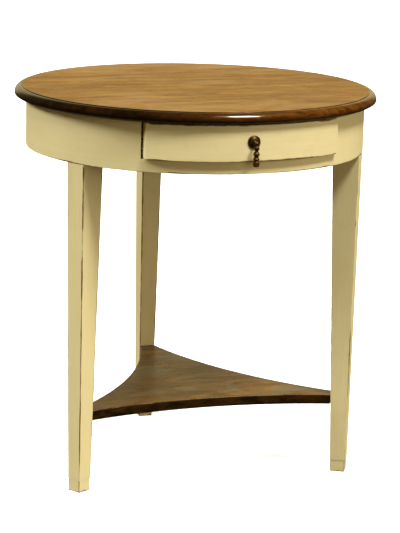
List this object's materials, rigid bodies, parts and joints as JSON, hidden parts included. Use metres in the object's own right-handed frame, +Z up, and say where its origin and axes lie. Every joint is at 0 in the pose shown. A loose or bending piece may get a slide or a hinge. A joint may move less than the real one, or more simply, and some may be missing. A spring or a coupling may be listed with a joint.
{
  "type": "round side table",
  "caption": "Round side table: moulded wooden top, cream apron with a bow-front drawer and drop pull, tapered legs and a concave-sided triangular shelf.",
  "frame": {"origin": "on the floor at the axis of the round top and apron", "axes": "+Z up; the drawer faces -Y, and +X is on the right of a person who faces the drawer"},
  "size_m": [0.65, 0.658, 0.696],
  "materials": {
    "cream_paint": "satin cream paint, rubbed through along the edges",
    "stained_top": "honey-brown waxed wood with a dark moulded edge",
    "dark_shelf": "dark brown stain, satin",
    "bare_wood": "unfinished inside wood",
    "aged_brass": "darkened antique brass",
    "screw_steel": "plain"
  },
  "bodies": {
    "table_frame": {"apron_left": "cream_paint", "apron_right": "cream_paint", "drawer_guide_left": "bare_wood", "drawer_guide_right": "bare_wood", "drawer_kicker_left": "bare_wood", "drawer_kicker_right": "bare_wood", "drawer_rail": "cream_paint", "drawer_runner_left": "bare_wood", "drawer_runner_right": "bare_wood", "drawer_stop_left": "bare_wood", "drawer_stop_right": "bare_wood", "foot_left": "cream_paint", "foot_rear": "cream_paint", "foot_right": "cream_paint", "front_stile_left": "cream_paint", "front_stile_right": "cream_paint", "glue_block_left_back": "bare_wood", "glue_block_left_front": "bare_wood", "glue_block_right_back": "bare_wood", "glue_block_right_front": "bare_wood", "leg_left": "cream_paint", "leg_rear": "cream_paint", "leg_right": "cream_paint", "leg_screw_left_lower": "screw_steel", "leg_screw_left_upper": "screw_steel", "leg_screw_rear_lower": "screw_steel", "leg_screw_rear_upper": "screw_steel", "leg_screw_right_lower": "screw_steel", "leg_screw_right_upper": "screw_steel", "shelf_board_back": "dark_shelf", "shelf_board_front": "dark_shelf", "shelf_board_middle": "dark_shelf", "shelf_dowel_left": "bare_wood", "shelf_dowel_rear": "bare_wood", "shelf_dowel_right": "bare_wood", "top_board_back": "stained_top", "top_board_front": "stained_top", "top_board_mid_back": "stained_top", "top_board_mid_front": "stained_top", "top_board_middle": "stained_top", "top_screw_left_back": "screw_steel", "top_screw_left_front": "screw_steel", "top_screw_left_kicker": "screw_steel", "top_screw_right_back": "screw_steel", "top_screw_right_front": "screw_steel", "top_screw_right_kicker": "screw_steel"},
    "drawer": {"drawer_front": "cream_paint", "drawer_side_left": "bare_wood", "drawer_side_right": "bare_wood", "drawer_back": "bare_wood", "drawer_bottom": "bare_wood", "pull_backplate": "aged_brass", "pull_post": "aged_brass", "pull_washer": "screw_steel", "pull_nut": "aged_brass"},
    "drop_handle": {"pull_drop": "aged_brass"}
  },
  "joints": [
    {"name": "drawer_slide", "type": "slide", "parent": "table_frame", "child": "drawer", "axis": [0, -1, 0], "range_m": [-0.01, 0.23]},
    {"name": "pull_swing", "type": "hinge", "parent": "drawer", "child": "drop_handle", "pos_m": [0.002, -0.3275, 0.6452], "axis": [-1, 0, 0], "range_deg": [-10, 110]}
  ]
}
